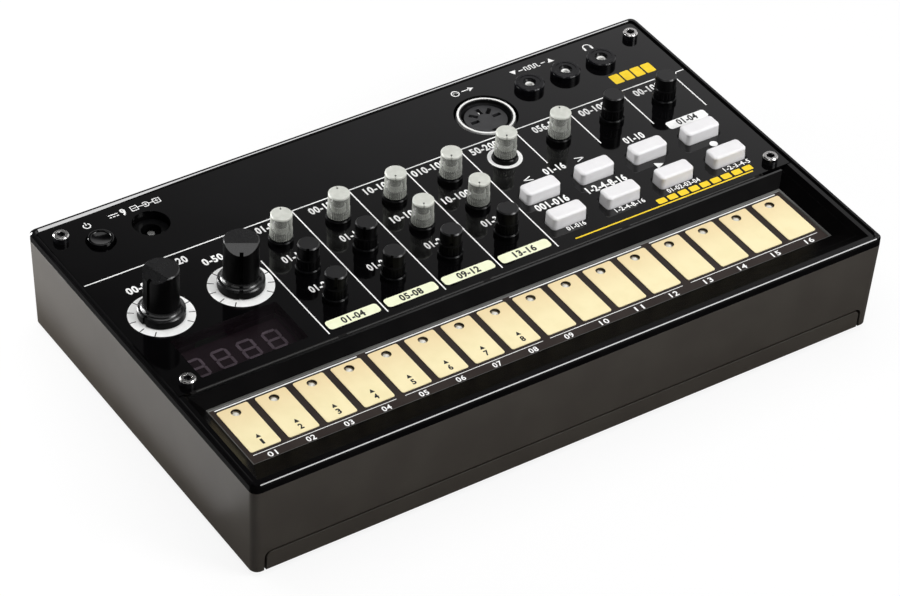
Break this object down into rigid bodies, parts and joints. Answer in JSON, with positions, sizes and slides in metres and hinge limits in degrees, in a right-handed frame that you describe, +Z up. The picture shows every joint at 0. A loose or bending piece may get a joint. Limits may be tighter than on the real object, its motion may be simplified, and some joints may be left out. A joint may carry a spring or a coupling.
{
  "type": "desktop drum machine",
  "caption": "Compact battery-powered desktop drum machine with turning knobs, spring-loaded keys, a sunken strip of touch pads, a digit display, top sockets and a sliding battery door.",
  "frame": {"origin": "middle of the footprint, on the surface under the feet", "axes": "+X to the player's right along the width, +Y away from the player to the rear, +Z up"},
  "size_m": [0.193, 0.115, 0.046],
  "materials": {
    "case": "satin moulded dark plastic",
    "gloss": "polished black plastic",
    "knobs": "satin black plastic",
    "clear_knobs": "clear moulded acrylic",
    "keys": "translucent white silicone",
    "feet": "black rubber",
    "window": "smoked clear plastic",
    "segments": "pale translucent plastic",
    "touch_board": "brown-grey printed board",
    "pads": "cream printed touch pads",
    "lamps": "white lamp lenses",
    "board": "green circuit board",
    "dark_parts": "black moulded electrical parts",
    "dark_metal": "blackened steel",
    "metal": "bright plated steel"
  },
  "bodies": {
    "case": {"case_tub": "case", "rear_feet": "feet", "battery_contacts": "metal", "speaker": "dark_parts", "top_cover": "gloss", "control_panel": "gloss", "panel_screws": "dark_metal", "display_window": "window", "display_module": "dark_parts", "display_segments": "segments", "main_board": "board", "board_screws": "metal", "touch_board": "touch_board", "touch_pads": "pads", "step_lamps": "lamps", "potentiometers": "dark_parts", "knob_collars": "knobs", "key_switches": "dark_parts", "power_switch": "dark_parts", "midi_socket": "dark_parts", "midi_ring": "segments", "midi_contacts": "metal", "audio_jacks": "dark_parts", "jack_nuts": "dark_metal", "dc_jack": "dark_parts", "dc_pin": "metal"},
    "door": {"battery_door": "case", "door_feet": "feet"},
    "kick_click": {"kick_click_knob": "clear_knobs"},
    "kick_pitch": {"kick_pitch_knob": "knobs"},
    "kick_decay": {"kick_decay_knob": "knobs"},
    "snare_snap": {"snare_snap_knob": "clear_knobs"},
    "snare_pitch": {"snare_pitch_knob": "knobs"},
    "snare_decay": {"snare_decay_knob": "knobs"},
    "tom_high": {"tom_high_knob": "clear_knobs"},
    "tom_low": {"tom_low_knob": "clear_knobs"},
    "tom_decay": {"tom_decay_knob": "knobs"},
    "hat_closed": {"hat_closed_knob": "clear_knobs"},
    "hat_open": {"hat_open_knob": "clear_knobs"},
    "hat_grain": {"hat_grain_knob": "knobs"},
    "sample_speed": {"sample_speed_knob": "clear_knobs"},
    "tempo": {"tempo_knob": "clear_knobs"},
    "part_level": {"part_level_knob": "knobs"},
    "volume": {"volume_knob": "knobs"},
    "time": {"time_knob": "knobs"},
    "depth": {"depth_knob": "knobs"},
    "part_back_switch_cap": {"part_back_key": "keys"},
    "part_next_switch_cap": {"part_next_key": "keys"},
    "mute_switch_cap": {"mute_key": "keys"},
    "function_switch_cap": {"function_key": "keys"},
    "memory_switch_cap": {"memory_key": "keys"},
    "step_mode_switch_cap": {"step_mode_key": "keys"},
    "play_switch_cap": {"play_key": "keys"},
    "record_switch_cap": {"record_key": "keys"},
    "power": {"power_button": "gloss"}
  },
  "joints": [
    {"name": "battery_door_slide", "type": "slide", "parent": "case", "child": "door", "axis": [0, -1, 0], "range_m": [0, 0.046]},
    {"name": "kick_click_knob_turn", "type": "hinge", "parent": "case", "child": "kick_click", "pos_m": [-0.04127, 0.02135, 0.0308], "axis": [0, 0, 1], "range_deg": [-295, 5]},
    {"name": "kick_pitch_knob_turn", "type": "hinge", "parent": "case", "child": "kick_pitch", "pos_m": [-0.04127, 0.0079, 0.0308], "axis": [0, 0, 1], "range_deg": [-295, 5]},
    {"name": "kick_decay_knob_turn", "type": "hinge", "parent": "case", "child": "kick_decay", "pos_m": [-0.04127, -0.00555, 0.0308], "axis": [0, 0, 1], "range_deg": [-299, 1]},
    {"name": "snare_snap_knob_turn", "type": "hinge", "parent": "case", "child": "snare_snap", "pos_m": [-0.02372, 0.02135, 0.0308], "axis": [0, 0, 1], "range_deg": [-295, 5]},
    {"name": "snare_pitch_knob_turn", "type": "hinge", "parent": "case", "child": "snare_pitch", "pos_m": [-0.02372, 0.0079, 0.0308], "axis": [0, 0, 1], "range_deg": [-288, 12]},
    {"name": "snare_decay_knob_turn", "type": "hinge", "parent": "case", "child": "snare_decay", "pos_m": [-0.02372, -0.00555, 0.0308], "axis": [0, 0, 1], "range_deg": [-285, 15]},
    {"name": "tom_high_knob_turn", "type": "hinge", "parent": "case", "child": "tom_high", "pos_m": [-0.00617, 0.02135, 0.0308], "axis": [0, 0, 1], "range_deg": [-295, 5]},
    {"name": "tom_low_knob_turn", "type": "hinge", "parent": "case", "child": "tom_low", "pos_m": [-0.00617, 0.0079, 0.0308], "axis": [0, 0, 1], "range_deg": [-295, 5]},
    {"name": "tom_decay_knob_turn", "type": "hinge", "parent": "case", "child": "tom_decay", "pos_m": [-0.00617, -0.00555, 0.0308], "axis": [0, 0, 1], "range_deg": [-300, 0]},
    {"name": "hat_closed_knob_turn", "type": "hinge", "parent": "case", "child": "hat_closed", "pos_m": [0.01137, 0.02135, 0.0308], "axis": [0, 0, 1], "range_deg": [-295, 5]},
    {"name": "hat_open_knob_turn", "type": "hinge", "parent": "case", "child": "hat_open", "pos_m": [0.01137, 0.0079, 0.0308], "axis": [0, 0, 1], "range_deg": [-295, 5]},
    {"name": "hat_grain_knob_turn", "type": "hinge", "parent": "case", "child": "hat_grain", "pos_m": [0.01137, -0.00555, 0.0308], "axis": [0, 0, 1], "range_deg": [-139, 161]},
    {"name": "sample_speed_knob_turn", "type": "hinge", "parent": "case", "child": "sample_speed", "pos_m": [0.02892, 0.02135, 0.0308], "axis": [0, 0, 1], "range_deg": [-295, 5]},
    {"name": "tempo_knob_turn", "type": "hinge", "parent": "case", "child": "tempo", "pos_m": [0.04648, 0.02135, 0.0308], "axis": [0, 0, 1], "range_deg": [-295, 5]},
    {"name": "part_level_knob_turn", "type": "hinge", "parent": "case", "child": "part_level", "pos_m": [0.06402, 0.02135, 0.0308], "axis": [0, 0, 1], "range_deg": [-74, 226]},
    {"name": "volume_knob_turn", "type": "hinge", "parent": "case", "child": "volume", "pos_m": [0.08157, 0.02135, 0.0308], "axis": [0, 0, 1], "range_deg": [-49, 251]},
    {"name": "time_knob_turn", "type": "hinge", "parent": "case", "child": "time", "pos_m": [-0.0829, 0.0109, 0.0308], "axis": [0, 0, 1], "range_deg": [-256, 44]},
    {"name": "depth_knob_turn", "type": "hinge", "parent": "case", "child": "depth", "pos_m": [-0.0595, 0.0109, 0.0308], "axis": [0, 0, 1], "range_deg": [-300, 0]},
    {"name": "part_back_key_press", "type": "slide", "parent": "case", "child": "part_back_switch_cap", "axis": [0, 0, -1], "range_m": [0, 0.0006], "stiffness_N_per_m": 2500, "springref_m": -0.0003},
    {"name": "part_next_key_press", "type": "slide", "parent": "case", "child": "part_next_switch_cap", "axis": [0, 0, -1], "range_m": [0, 0.0006], "stiffness_N_per_m": 2500, "springref_m": -0.0003},
    {"name": "mute_key_press", "type": "slide", "parent": "case", "child": "mute_switch_cap", "axis": [0, 0, -1], "range_m": [0, 0.0006], "stiffness_N_per_m": 2500, "springref_m": -0.0003},
    {"name": "function_key_press", "type": "slide", "parent": "case", "child": "function_switch_cap", "axis": [0, 0, -1], "range_m": [0, 0.0006], "stiffness_N_per_m": 2500, "springref_m": -0.0003},
    {"name": "memory_key_press", "type": "slide", "parent": "case", "child": "memory_switch_cap", "axis": [0, 0, -1], "range_m": [0, 0.0006], "stiffness_N_per_m": 2500, "springref_m": -0.0003},
    {"name": "step_mode_key_press", "type": "slide", "parent": "case", "child": "step_mode_switch_cap", "axis": [0, 0, -1], "range_m": [0, 0.0006], "stiffness_N_per_m": 2500, "springref_m": -0.0003},
    {"name": "play_key_press", "type": "slide", "parent": "case", "child": "play_switch_cap", "axis": [0, 0, -1], "range_m": [0, 0.0006], "stiffness_N_per_m": 2500, "springref_m": -0.0003},
    {"name": "record_key_press", "type": "slide", "parent": "case", "child": "record_switch_cap", "axis": [0, 0, -1], "range_m": [0, 0.0006], "stiffness_N_per_m": 2500, "springref_m": -0.0003},
    {"name": "power_button_press", "type": "slide", "parent": "case", "child": "power", "axis": [0, 0, -1], "range_m": [0, 0.0012], "stiffness_N_per_m": 1500, "springref_m": -0.0003}
  ]
}
